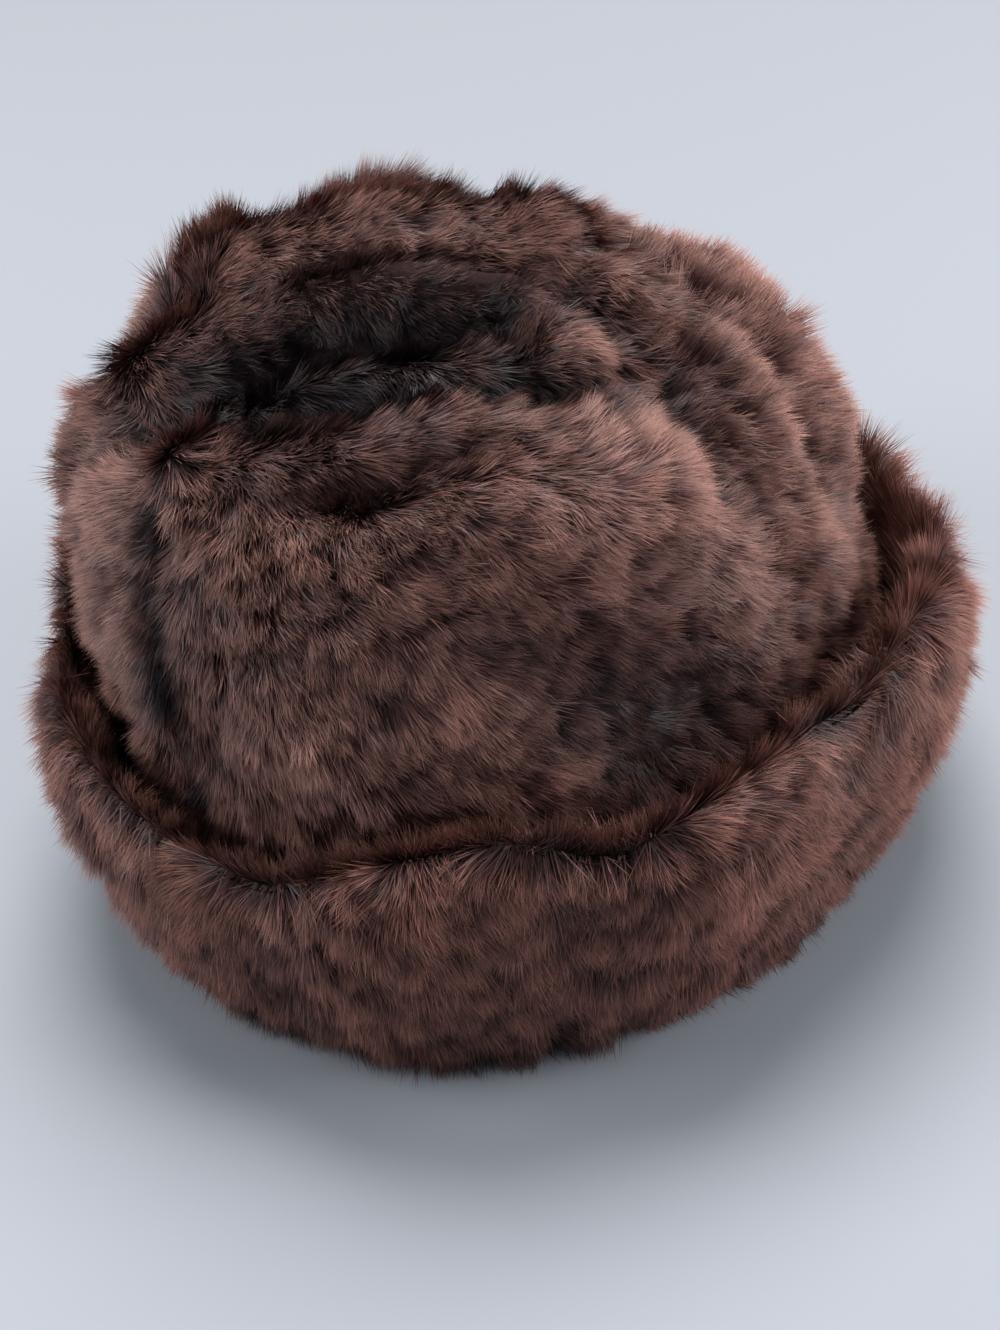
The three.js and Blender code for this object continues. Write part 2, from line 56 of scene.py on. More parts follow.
# %% Sizes of the crown
LENGTH_RATIO = 1.06  # the plan is an oval this much longer from front to back
OPENING_RADIUS = 90.0
CROWN_RADIUS = 118.0
CROWN_SPRING = 67.0  # height where the dome starts
CROWN_HEIGHT = 198.0
DOME_POWER = 2.25
CROWN_LEAN = (18.0, 17.0)  # how far the top has slumped sideways
TOP_SEAM_ARC = 89.0
BAND_BOTTOM = 5.0
DEPTH = 16.0  # from the tips of the fur to the inside of the cloth
UNDERFUR = -9.0  # the dense fur's surface, measured from the tips
FOLDS_END = (165.0, 205.0)
SEAM_GAP = 0.35
print("crown", 2 * CROWN_RADIUS, "mm wide")

# %% [markdown]
# The folds make this hat's crown its own: a great hollow behind a ridge, a long crease, and a pit. They could
# be sculpted, but a table of short curved lines, each with a rise and a width, is easy to read and to change.

# %% Folds of the crown
FOLDS = (
    # name, rise, width, three places as (azimuth, distance from the middle of the top)
    ("far ridge", 6, 12, ((114, 54), (46, 30), (338, 49))),
    ("right ridge", 8, 11, ((334, 52), (303, 99), (285, 150))),
    ("outer ridge", 7, 11, ((352, 78), (326, 105), (310, 155))),
    ("between ridges", -6, 8, ((334, 80), (314, 108), (300, 150))),
    ("inside the far ridge", -4, 8, ((110, 28), (355, 19), (316, 48))),
    ("inside the right ridge", -6, 12, ((310, 57), (292, 92), (279, 120))),
    ("middle ridge", 5, 9, ((145, 25), (294, 11), (298, 44))),
    ("middle ridge end", 8, 9, ((298, 44), (285, 64), (274, 77))),
    ("great hollow", -15, 10, ((160, 55), (201, 19), (284, 40))),
    ("near ridge", 3, 8, ((173, 57), (226, 36), (276, 61))),
    ("left hollow", -9, 10, ((168, 73), (190, 60), (219, 50))),
    ("right of the left hollow", -3, 7, ((229, 50), (246, 54), (261, 61))),
    ("near lip", 3, 8, ((176, 86), (209, 71), (253, 69))),
    ("long crease", -7, 6, ((207, 86), (222, 84), (238, 79))),
    ("pit", -13, 7, ((269, 73), (271, 75), (273, 77))),
    ("pit fan", 6, 17, ((245, 100), (252, 101), (268, 108))),
    ("back tuft", 7, 6, ((162, 64), (175, 82), (181, 96))),
    ("back pit", -9, 8, ((158, 80), (156, 86), (155, 92))),
    ("back left ridge", 7, 10, ((140, 50), (136, 80), (140, 125))),
    ("left hollow behind", -7, 9, ((118, 66), (120, 85), (122, 120))),
    ("left ridge", 8, 11, ((96, 58), (100, 85), (98, 130))),
    ("left front hollow", -6, 12, ((72, 70), (70, 100), (68, 135))),
    ("front left ridge", 7, 12, ((45, 60), (44, 95), (46, 140))),
    ("front hollow", -6, 12, ((18, 66), (15, 100), (16, 140))),
    ("side dish", -6, 22, ((238, 150), (246, 158), (256, 166))),
    ("side swell", 4, 22, ((200, 140), (206, 160), (214, 178))),
    ("sunken pan", -14, 34, ((160, 55), (204, 36), (268, 55))),
)
BACK_SEAM = {"azimuth": 178.0, "depth": 4.0, "width": 5.0, "from": 84.0, "to": 99.0}
print(len(FOLDS), "folds")


# %% The meridian
def smoothstep(value, low, high):
    share = np.clip((value - low) / (high - low), 0, 1)
    return share * share * (3 - 2 * share)


def bell(distance, width):
    return np.exp(-((distance / width) ** 2))


def azimuth_gap(a, b):
    """Degrees from b to a, between -180 and 180."""
    return (np.asarray(a) - b + 540) % 360 - 180


def make_meridian(steps=400):
    """Distance from the middle of the top, radius and height, from the top down to the band's edge."""
    angle = np.linspace(0, math.pi / 2, steps + 1)
    cosine = np.clip(np.cos(angle), 0, 1)
    radius = CROWN_RADIUS * np.sin(angle) ** (2 / DOME_POWER)
    height = CROWN_SPRING + (CROWN_HEIGHT - CROWN_SPRING) * cosine ** (2 / DOME_POWER)
    foot = OPENING_RADIUS + DEPTH
    radius = np.append(radius, [CROWN_RADIUS - 1, foot + 3, foot, foot])
    height = np.append(height, [47, 23, BAND_BOTTOM + 8, BAND_BOTTOM])
    arc = np.append(0, np.cumsum(np.hypot(np.diff(radius), np.diff(height))))
    return arc, radius, height


MERIDIAN = make_meridian()
CROWN_END = MERIDIAN[0][-1]
print("from the top to the band's edge:", round(CROWN_END), "mm")


# %% The crown's surface
def flat_place(azimuth, arc):
    turn = np.radians(azimuth)
    return np.stack([arc * np.sin(turn), -arc * np.cos(turn)], axis=-1)


def fold_line(path, steps=12):
    """A smooth curve through three places, as short straight pieces."""
    a, b, c = (flat_place(*np.array(place, float)) for place in path)
    line = []
    for k in range(steps + 1):
        whole, t = divmod(2 * k / steps, 1)
        p, q, r, s = (a, a, b, c) if whole == 0 else (a, b, c, c)
        if whole == 2:
            line.append(c)
            continue
        bend = 2 * p - 5 * q + 4 * r - s + t * (3 * (q - r) + s - p)
        line.append(q + 0.5 * t * (r - p + t * bend))
    return np.array(line)


FOLD_LINES = [(rise, width, fold_line(path)) for _, rise, width, path in FOLDS]


def rise_along(lines, azimuth, arc):
    """How far the lines push places out or in. Each counts by the distance to its nearest piece."""
    place = flat_place(azimuth, arc)
    rise = np.zeros(len(place))
    for height, width, line in lines:
        nearest = np.full(len(place), np.inf)
        for start, end in zip(line[:-1], line[1:]):
            along = end - start
            t = np.clip((place - start) @ along / (along @ along), 0, 1)
            nearest = np.minimum(nearest, np.linalg.norm(place - start - t[:, None] * along, axis=1))
        rise += height * bell(nearest, width)
    return rise


def seam_distance(azimuth, arc):
    """Millimetres from the back seam, towards rising azimuths."""
    return np.radians(azimuth_gap(azimuth, BACK_SEAM["azimuth"])) * np.interp(arc, *MERIDIAN[:2])


def fold_rise(azimuth, arc):
    reach = smoothstep(arc, BACK_SEAM["from"], BACK_SEAM["to"])
    seam = bell(seam_distance(azimuth, arc), BACK_SEAM["width"]) * reach
    rise = rise_along(FOLD_LINES, azimuth, arc) - BACK_SEAM["depth"] * seam
    return rise * (1 - smoothstep(arc, *FOLDS_END))


def crown_point(azimuth, arc, offset, follow=1.0):
    """Points of the crown. offset is measured outwards from the tips of the fur."""
    arcs, radii, heights = MERIDIAN
    radius, height = np.interp(arc, arcs, radii), np.interp(arc, arcs, heights)
    low, high = np.maximum(arc - 1, 0), np.minimum(arc + 1, CROWN_END)
    run = np.interp(high, arcs, radii) - np.interp(low, arcs, radii)
    drop = np.interp(low, arcs, heights) - np.interp(high, arcs, heights)
    length = np.hypot(run, drop)
    push = fold_rise(azimuth, arc) * follow + offset
    lean = np.maximum(0, (height - CROWN_SPRING) / (CROWN_HEIGHT - CROWN_SPRING))
    across = radius + drop / length * push
    turn = np.radians(azimuth)
    return np.stack([
        across * np.sin(turn) + CROWN_LEAN[0] * lean,
        -across * LENGTH_RATIO * np.cos(turn) + CROWN_LEAN[1] * lean,
        height + run / length * push,
    ], axis=-1)


print("top of the crown:", crown_point(np.zeros(1), np.zeros(1), 0.0).round(1))

# %% [markdown]
# The cuff is fur cloth turned up all round, with a soft roll for its edge. It could be a bent tube of an even
# height, but this one dips and climbs. So it is a second rule: one section, carried round the hat, whose
# height and flare change with the azimuth. The section runs from the inside of the foot, out, up and over the
# rolled edge, and down inside.

# %% Tables of the cuff
CUFF_ROUND = (
    # azimuth, height of the rolled edge, flare
    (0, 82, 2), (30, 84, 1), (60, 87, 0), (90, 91, 1), (120, 96, 2), (138, 76, 3), (152, 87, 2),
    (180, 79, 0), (200, 80, -1), (225, 97, 0), (240, 91, 4), (265, 100, 3), (287, 98, 4), (305, 86, 5),
    (325, 75, 1), (342, 79, 1),
)
CUFF_SECTION = (
    # half width, share of the rolled edge's height, share of the flare, share of the foot
    (92, 0, 0, 0), (122, 0, 0, 0), (128, 0.1, 0, 0), (132, 0.28, 0.2, 0), (135, 0.52, 0.6, 0),
    (135.5, 0.76, 0.9, 0), (133, 0.93, 1, 0), (128.5, 0.985, 1, 0), (124.5, 0.93, 1, 0), (122, 0.76, 0.9, 0),
    (120, 0.5, 0.4, 0), (114, 0.17, 0, 0), (104, 0, 0, 1), (92, 0, 0, 1),
)
CUFF_LUMPS = (
    # azimuth, share of the height, rise, spread in degrees, spread as a share of the height
    (195, 0.6, -4, 4, 0.5), (212, 0.8, 3, 12, 0.3), (236, 0.9, -3, 6, 0.3), (250, 0.75, 4, 12, 0.3),
    (270, 0.85, -3, 6, 0.35), (292, 0.6, 5, 12, 0.4), (330, 0.7, 3, 14, 0.4), (20, 0.7, 2, 16, 0.4),
    (75, 0.6, 3, 14, 0.4), (118, 0.75, 3, 10, 0.3), (160, 0.6, 3, 12, 0.4),
)
CUFF_FOOT = BAND_BOTTOM - SEAM_GAP
ROLL_TOP, INSIDE_FOOT, CUFF_END = 7, 12, len(CUFF_SECTION) - 1  # rows of the section
print(len(CUFF_SECTION), "rows in the cuff's section")


# %% The cuff's surface
def through(a, b, c, d, t):
    """A smooth curve from b to c with neighbours a and d."""
    return b + 0.5 * t * (c - a + t * (2 * a - 5 * b + 4 * c - d + t * (3 * (b - c) + d - a)))


def round_table(azimuth):
    """The rolled edge's height and flare at azimuths."""
    rows = np.array(CUFF_ROUND, float)
    at = np.asarray(azimuth) % 360
    i = np.searchsorted(rows[:, 0], at, side="right") - 1
    count = len(rows)
    a, b, c, d = (rows[(i + k) % count] for k in (-1, 0, 1, 2))
    span = (c[:, 0] - b[:, 0]) % 360
    t = ((at - b[:, 0]) % 360 / span)[:, None]
    return through(a[:, 1:], b[:, 1:], c[:, 1:], d[:, 1:], t).T


def section(place, top, flare):
    """Half width, height, and share of the rolled edge's height, at places along the section."""
    rows = np.array(CUFF_SECTION, float)
    row = np.clip(np.floor(place).astype(int), 0, CUFF_END - 1)
    t = (place - row)[:, None]
    a, b, c, d = (rows[np.clip(row + k, 0, CUFF_END)] for k in (-1, 0, 1, 2))
    radius, height, lean, foot = through(a, b, c, d, t).T
    return radius + lean * flare, height * top + foot * CUFF_FOOT, height


def lump_rise(azimuth, place, height):
    rise = np.zeros(len(place))
    for lump_azimuth, lump_height, lump, spread, tall in CUFF_LUMPS:
        rise += lump * bell(azimuth_gap(azimuth, lump_azimuth), spread) * bell(height - lump_height, tall)
    return rise * smoothstep(place, 0.5, 2) * (1 - smoothstep(place, 7, 9))


def cuff_point(azimuth, place, offset):
    top, flare = round_table(azimuth)
    across, up, height = section(place, top, flare)
    before = section(np.clip(place - 0.3, 0, CUFF_END), top, flare)
    after = section(np.clip(place + 0.3, 0, CUFF_END), top, flare)
    run, climb = after[0] - before[0], after[1] - before[1]
    length = np.hypot(run, climb)
    push = lump_rise(azimuth, place, height) + offset
    across = across + climb / length * push
    turn = np.radians(azimuth)
    return np.stack([
        across * np.sin(turn),
        -across * LENGTH_RATIO * np.cos(turn),
        up - run / length * push,
    ], axis=-1)


print("cuff's rolled edge, back and right:", round_table(np.array([180.0, 270.0]))[0].round())

# %% [markdown]
# Node trees could be written as a long list of nodes and links. Here one small class wraps an output socket,
# so that sums can be written as Python writes them, and one method adds any other node with its settings and
# its inputs. That keeps each finish short enough to read.


# %% A board for nodes
class Wire:
    """An output socket that can be reckoned with."""

    def __init__(self, board, socket):
        self.board = board
        self.socket = socket

    def maths(self, operation, *others):
        return self.board.maths(operation, self, *others)

    def __add__(self, other):
        return self.maths("ADD", other)

    def __sub__(self, other):
        return self.maths("SUBTRACT", other)

    def __rsub__(self, other):
        return self.board.maths("SUBTRACT", other, self)

    def __mul__(self, other):
        return self.maths("MULTIPLY", other)

    def __truediv__(self, other):
        return self.maths("DIVIDE", other)

    def __rtruediv__(self, other):
        return self.board.maths("DIVIDE", other, self)

    __radd__ = __add__
    __rmul__ = __mul__


class Outputs:
    """A node's outputs, by number or by name."""

    def __init__(self, board, made):
        self.board = board
        self.made = made

    def __getitem__(self, key):
        shown = [socket for socket in self.made.outputs if socket.enabled]
        if isinstance(key, int):
            return Wire(self.board, shown[key])
        return Wire(self.board, next(socket for socket in shown if socket.name == key))


class Board:
    """A node tree with one way to add a node."""

    def __init__(self, tree):
        self.tree = tree

    def node(self, kind, settings=None, inputs=None):
        made = self.tree.nodes.new(kind)
        for name, value in (settings or {}).items():
            if name == "stops":
                self.fill_ramp(made.color_ramp, value)
            else:
                setattr(made, name, value)
        for key, value in (inputs or {}).items():
            shown = [socket for socket in made.inputs if socket.enabled]
            socket = shown[key] if isinstance(key, int) else next(s for s in shown if s.name == key)
            if isinstance(value, Wire):
                self.tree.links.new(value.socket, socket)
            else:
                socket.default_value = value
        return Outputs(self, made)

    def maths(self, operation, *values):
        return self.node("ShaderNodeMath", {"operation": operation}, dict(enumerate(values)))[0]

    @staticmethod
    def fill_ramp(ramp, stops):
        while len(ramp.elements) < len(stops):
            ramp.elements.new(1.0)
        for element, (place, colour) in zip(ramp.elements, stops):
            element.position = place
            element.color = (*colour, 1.0)


print("nodes can be written as sums")

# %% [markdown]
# Fur of this kind is dark at the skin and paler at the tips, and no two strands are quite the same. One
# pattern could be laid over the whole hat, but then no dark roots would show between parted locks. So each
# strand carries its own map: V runs from its root to its tip and U is its shade. That shade is partly the
# strand's own tone and partly painted light: painted shade in hollows, creases and partings, and painted
# highlight on ridges, lips and the cuff's crest. The colour depends on that map alone, so one small strip of
# colour serves every strand.

# %% Fur colours
ROOT_COLOUR = (0.014, 0.0058, 0.0055)
MIDDLE_COLOUR = (0.070, 0.0290, 0.0255)
TIP_COLOUR = (0.285, 0.1465, 0.1160)
# The blue in DARK_SHADE is painted shade for hollows and partings; the palest strands are partly pale fur
# and partly painted highlight on ridges, lips and the cuff's crest.
DARK_SHADE = (0.075, 0.085, 0.130)  # the darkest strand's share of those colours
PALE_SHADE = (1.50, 1.41, 1.36)  # the palest strand's
CUFF_TINT = (0.96, 0.86, 0.82)  # the cuff is a little redder and darker
MAP = "OFBake"
print("fur colours from root to tip:", ROOT_COLOUR, MIDDLE_COLOUR, TIP_COLOUR)


# %% Fur materials
def blank_material(name):
    material = bpy.data.materials.new(name)
    material.use_nodes = True
    board = Board(material.node_tree)
    shader = material.node_tree.nodes["Principled BSDF"]
    return material, board, shader


def two_colours(board, share, low, high):
    ends = {"Factor": share, "A": (*low, 1), "B": (*high, 1)}
    return board.node("ShaderNodeMix", {"data_type": "RGBA"}, ends)["Result"]


def fur_material(name, tint=(1.0, 1.0, 1.0)):
    material, board, shader = blank_material(name)
    strand = board.node("ShaderNodeUVMap", {"uv_map": MAP})[0]
    parts = board.node("ShaderNodeSeparateXYZ", inputs={0: strand})
    shade, along = parts["X"], parts["Y"]
    colours = (ROOT_COLOUR, MIDDLE_COLOUR, TIP_COLOUR)
    tinted = [tuple(c * t for c, t in zip(colour, tint)) for colour in colours]
    length = board.node("ShaderNodeValToRGB", {"stops": list(zip((0.0, 0.5, 1.0), tinted))}, {0: along})[0]
    own = two_colours(board, shade, DARK_SHADE, PALE_SHADE)
    colour = board.node("ShaderNodeMix", {"data_type": "RGBA", "blend_type": "MULTIPLY"}, {
        "Factor": 1.0, "A": length, "B": own})["Result"]
    material.node_tree.links.new(colour.socket, shader.inputs["Base Color"])
    shader.inputs["Roughness"].default_value = 0.5
    shader.inputs["Specular IOR Level"].default_value = 0.22
    return material


crown_fur = fur_material("crown_fur")
cuff_fur = fur_material("cuff_fur", CUFF_TINT)
print("fur materials:", crown_fur.name, cuff_fur.name)

# %% [markdown]
# Under the long strands lies a dense dark underfur, which closes the gaps between them. It could be strands
# too, but little of it shows except its darkness, so a rough dark surface with a little bump is enough. The
# inside of the hat is the fur cloth's own knitted back: ribs, crossed by rows of loops. Both are patterns on
# the object's coordinates, so they need no map.


# %% Underfur
def backing_material(name, make_height, low, high, strength, distance):
    """A rough cloth whose colour and bump both follow one height."""
    material, board, shader = blank_material(name)
    height = make_height(board, board.node("ShaderNodeTexCoord")["Object"])
    colour = two_colours(board, height, low, high)
    material.node_tree.links.new(colour.socket, shader.inputs["Base Color"])
    relief = board.node("ShaderNodeBump", inputs={"Strength": strength, "Distance": distance, "Height": height})[0]
    material.node_tree.links.new(relief.socket, shader.inputs["Normal"])
    return material, shader


def clumps(board, place):
    return board.node("ShaderNodeTexNoise", inputs={"Vector": place, "Scale": 260.0, "Detail": 4.0})[0]


underfur, shader = backing_material(
    "underfur", clumps, (0.006, 0.003, 0.003), (0.030, 0.0135, 0.0125), strength=0.8, distance=0.002)
shader.inputs["Roughness"].default_value = 0.95
shader.inputs["Specular IOR Level"].default_value = 0.1
print("underfur:", underfur.name)

# %% Knitted back
KNIT_RADIUS, KNIT_RIB, KNIT_COURSE = 0.1, 0.0021, 0.0016  # metres


def knit(board, place):
    parts = board.node("ShaderNodeSeparateXYZ", inputs={0: place})
    turn = parts["Y"].maths("ARCTAN2", parts["X"])
    ribs = (turn * (KNIT_RADIUS * 2 * math.pi / KNIT_RIB)).maths("SINE")
    rows = parts["Z"] * (2 * math.pi / KNIT_COURSE) + ribs.maths("ABSOLUTE") * 2.2
    loops = rows.maths("SINE") * 0.35 + ribs.maths("ABSOLUTE") * 0.65
    fuzz = board.node("ShaderNodeTexNoise", inputs={"Vector": place, "Scale": 900.0, "Detail": 3.0})[0]
    return loops * 0.6 + fuzz * 0.4


knitted_back, shader = backing_material(
    "knitted_back", knit, (0.020, 0.010, 0.009), (0.075, 0.043, 0.038), strength=0.7, distance=0.0006)
shader.inputs["Roughness"].default_value = 0.9
shader.inputs["Sheen Weight"].default_value = 0.15
print("knitted back:", knitted_back.name)

# %% [markdown]
# Each piece's backing is a closed wall of soft cloth: the dense underfur outside, the knitted back inside. The
# solid piece could be kept for it, but that one has locks of broad facets, which would stand out of the fur.
# So a smooth wall is made by the same rules, in the same place, and replaces it.


# %% Helpers for meshes
def mesh_object(name, points, faces, materials, slots=None):
    mesh = bpy.data.meshes.new(name)
    mesh.from_pydata((np.asarray(points) * MM).tolist(), [], faces)
    for material in materials:
        mesh.materials.append(material)
    if slots is not None:
        mesh.polygons.foreach_set("material_index", slots)
    mesh.shade_smooth()
    mesh.validate()
    piece = bpy.data.objects.new(name, mesh)
    bpy.context.scene.collection.objects.link(piece)
    return piece


def ring_faces(columns, size, inside):
    """Faces of a closed ring of equal loops, and which of them show the knitted back."""
    faces, slots = [], []
    for i in range(columns):
        following = (i + 1) % columns
        for j in range(size):
            up = (j + 1) % size
            faces.append((i * size + j, following * size + j, following * size + up, i * size + up))
            slots.append(1 if inside(j) else 0)
    return faces, slots


def turned_outwards(piece):
    """Merges a closed mesh's doubles and turns its faces outwards."""
    shape = bmesh.new()
    shape.from_mesh(piece.data)
    bmesh.ops.remove_doubles(shape, verts=shape.verts, dist=1e-6)
    bmesh.ops.recalc_face_normals(shape, faces=shape.faces)
    shape.to_mesh(piece.data)
    shape.free()
    print(piece.name, len(piece.data.polygons), "faces")
    return piece


# %% Wall of the top panel
INNER_FOLLOW = 0.85  # the inside takes this share of the folds


def crown_top_wall(columns=180):
    arcs = np.linspace(2, TOP_SEAM_ARC - SEAM_GAP / 2, 36)
    azimuth = np.tile(np.arange(columns) * 360 / columns, len(arcs))
    arc = np.repeat(arcs, columns)
    middle = np.zeros(1)
    points = np.vstack([
        crown_point(middle, middle, UNDERFUR), crown_point(azimuth, arc, UNDERFUR),
        crown_point(middle, middle, -DEPTH, INNER_FOLLOW), crown_point(azimuth, arc, -DEPTH, INNER_FOLLOW),
    ])
    inner = 1 + len(arcs) * columns
    faces, slots = [], []
    for start, slot in ((0, 0), (inner, 1)):
        for i in range(columns):
            following = (i + 1) % columns
            sheet = [(start, start + 1 + i, start + 1 + following)]
            for ring in range(len(arcs) - 1):
                low = start + 1 + ring * columns
                high = low + columns
                sheet.append((low + following, low + i, high + i, high + following))
            faces += [face if slot == 0 else face[::-1] for face in sheet]
            slots += [slot] * len(sheet)
    edge = 1 + (len(arcs) - 1) * columns
    for i in range(columns):
        following = (i + 1) % columns
        faces.append((edge + following, edge + i, inner + edge + i, inner + edge + following))
        slots.append(0)
    return mesh_object("crown_top_wall", points, faces, [underfur, knitted_back], slots)


walls = {"crown_top": turned_outwards(crown_top_wall())}


# %% Wall of the side band
def crown_side_wall(columns=180):
    arcs = np.append(np.linspace(TOP_SEAM_ARC + SEAM_GAP / 2, 215, 46), [225, 238, CROWN_END])
    size = 2 * len(arcs)
    azimuth = np.repeat(np.arange(columns) * 360 / columns, size)
    arc = np.tile(np.append(arcs[::-1], arcs), columns)
    outer = np.tile(np.arange(size) < len(arcs), columns)[:, None]
    inner_skin = crown_point(azimuth, arc, -DEPTH, INNER_FOLLOW)
    points = np.where(outer, crown_point(azimuth, arc, UNDERFUR), inner_skin)
    faces, slots = ring_faces(columns, size, lambda j: j >= len(arcs) - 1)
    return mesh_object("crown_side_wall", points, faces, [underfur, knitted_back], slots)


walls["crown_side"] = turned_outwards(crown_side_wall())

# %% Wall of the cuff
CUFF_UNDERFUR = -5.0  # measured from the section, which runs a little inside the tips
CUFF_EDGE = -1.0  # where the wall meets the band inside


def cuff_wall(columns=240):
    places = np.linspace(0, CUFF_END, 70)
    azimuth = np.repeat(np.arange(columns) * 360 / columns, len(places))
    depth = np.full(len(places), CUFF_UNDERFUR)
    depth[places > INSIDE_FOOT - 0.6] = CUFF_EDGE
    depth[places < 0.3] = CUFF_EDGE
    points = cuff_point(azimuth, np.tile(places, columns), np.tile(depth, columns))
    faces, slots = ring_faces(columns, len(places), lambda j: False)
    return mesh_object("cuff_wall", points, faces, [underfur], slots)


walls["cuff"] = turned_outwards(cuff_wall())

# %% [markdown]
# One strand is a long thin triangle, broad at its hidden root and sharp at its tip, that leans over the
# skin. Real hairs are far too many and too thin, so each strand stands for a few. A bent one would take three
# times the faces, and in dense fur only the straight upper halves show.

# %% One strand
STRAND_LIFT = 33.0  # degrees above the skin


def make_strand():
    lift = math.radians(STRAND_LIFT)
    points = [(0, -0.5 / MM, 0), (0, 0.5 / MM, 0), (math.cos(lift) / MM, 0, math.sin(lift) / MM)]
    strand = mesh_object("strand", points, [(0, 2, 1)], [])
    for name, values in (("along", (0.0, 0.0, 1.0)), ("side", (0.0, 1.0, 0.5))):
        strand.data.attributes.new(name, "FLOAT", "POINT").data.foreach_set("value", values)
    return strand


strand = make_strand()
print("a strand has", len(strand.data.polygons), "face")

# %% [markdown]
# Geometry Nodes grow the fur. Hair curves would be lighter to handle, but the finished piece has to be a
# plain mesh. A guide mesh goes in, which carries the skin's outward direction, the lie of the fur, and the
# strand's length, pitch and shade. Fur gathers into tufts a few millimetres wide, and tufts into locks, so
# space is cut into cells of both sizes, and a cell's strands share a turn and a shade.

# %% Sizes of the fur
FUR_SIZES = {
    "Strands": 4500000.0,  # to the square metre
    "Width": 0.43 * MM,
    "Stray": 0.20,
    "Roll": 0.6,
    "Lock": 13 * MM,
    "Lock pull": 0.30,
    "Lock shade": 0.14,
    "Tuft": 4.3 * MM,
    "Tuft pull": 0.42,
    "Tuft shade": 0.12,
    "Tuft turn": 0.50,
    # painted shade at a tuft's edge, in the parting between tufts
    "Painted parting shade": 0.22,
    "Roundness": 0.55,
    "Floor": 0.4 * MM,
}
OWN_SHADE = 0.26  # strands differ by up to this much
STRAND_LENGTHS = (0.72, 1.08)  # as shares of the pile
STRAND_WIDTHS = (0.6, 1.3)
FACED = (-0.30, 0.0, 0.95)  # where fur catches the light: out of the skin and a little against the nap
print("tufts", round(FUR_SIZES["Tuft"] / MM, 1), "mm and locks", round(FUR_SIZES["Lock"] / MM, 1), "mm wide")


# %% A board for fur
class FurBoard(Board):
    """A board with the nodes that fur needs often."""

    def __init__(self, tree):
        super().__init__(tree)
        self.given = self.node("NodeGroupInput")

    def field(self, name, kind="FLOAT"):
        return self.node("GeometryNodeInputNamedAttribute", {"data_type": kind}, {"Name": name})["Attribute"]

    def place(self):
        return self.node("GeometryNodeInputPosition")[0]

    def chance(self, low, high, salt):
        inputs = {"Min": low, "Max": high, "Seed": self.given["Seed"] + salt}
        return self.node("FunctionNodeRandomValue", {"data_type": "FLOAT"}, inputs)["Value"]

    def stored(self, geometry, name, value, kind="FLOAT", domain="POINT"):
        inputs = {"Geometry": geometry, "Name": name, "Value": value}
        return self.node("GeometryNodeStoreNamedAttribute", {"data_type": kind, "domain": domain}, inputs)[0]

    def vector(self, operation, *values):
        return self.node("ShaderNodeVectorMath", {"operation": operation}, dict(enumerate(values)))[0]

    def triple(self, x, y, z):
        return self.node("ShaderNodeCombineXYZ", inputs={0: x, 1: y, 2: z})[0]

    def split(self, vector):
        return self.node("ShaderNodeSeparateXYZ", inputs={0: vector})

    def scaled(self, vector, size):
        return self.vector("MULTIPLY", vector, self.triple(size, size, size))

    def turned(self, stance, angles):
        turn = self.node("FunctionNodeEulerToRotation", inputs={0: angles})[0]
        return self.node("FunctionNodeRotateRotation", {"rotation_space": "LOCAL"}, {0: stance, 1: turn})[0]

    def gathered(self, place, size):
        """The cell that a place is in: its middle, three random numbers, and the distance from the middle."""
        counted = self.vector("DIVIDE", place, self.triple(size, size, size))
        cell = self.node("ShaderNodeTexVoronoi", {"voronoi_dimensions": "3D"}, {"Vector": counted, "Scale": 1.0})
        return self.scaled(cell["Position"], size), self.split(cell["Color"]), cell["Distance"]


print("fur has a board of its own")


# %% Scatter the strands' roots
def scattered(board, place, lock, tuft):
    """Points on the guide, with ways to their lock's and tuft's middles, and their tone with painted light."""
    given = board.given
    points = board.node("GeometryNodeDistributePointsOnFaces", {"distribute_method": "RANDOM"}, {
        "Mesh": given["Guide"],
        "Density": board.field("thickness") * given["Strands"],
        "Seed": given["Seed"],
    })["Points"]
    points = board.stored(points, "to_lock", board.vector("SUBTRACT", lock[0], place), "FLOAT_VECTOR")
    points = board.stored(points, "to_tuft", board.vector("SUBTRACT", tuft[0], place), "FLOAT_VECTOR")
    own = board.field("shade") + board.chance(-OWN_SHADE, OWN_SHADE, 1)
    own = own + (lock[1]["X"] - 0.5) * given["Lock shade"]
    # Strands at a tuft's edge are darkened: painted shade in the partings between tufts.
    own = own + (tuft[1]["X"] - 0.5) * given["Tuft shade"] - tuft[2] * tuft[2] * given["Painted parting shade"]
    return board.stored(points, "own_shade", board.node("ShaderNodeClamp", inputs={0: own})[0])


# %% Turn the strands
def stances(board, tuft_lots):
    """How a tuft stands on the skin, and how each of its strands does."""
    given = board.given
    upright = board.node("FunctionNodeAxesToRotation", {"primary_axis": "Z", "secondary_axis": "X"}, {
        0: board.field("up", "FLOAT_VECTOR"), 1: board.field("nap", "FLOAT_VECTOR")})[0]
    pitch = board.field("pitch") + (tuft_lots["Y"] - 0.5) * given["Tuft turn"]
    yaw = (tuft_lots["Z"] - 0.5) * given["Tuft turn"]
    of_tuft = board.turned(upright, board.triple(0.0, pitch, yaw))
    roll = board.chance(-1.0, 1.0, 2) * given["Roll"]
    lean = board.chance(-1.0, 1.0, 3) * given["Stray"]
    sway = board.chance(-1.0, 1.0, 4) * given["Stray"]
    return of_tuft, board.turned(of_tuft, board.triple(roll, lean, sway))


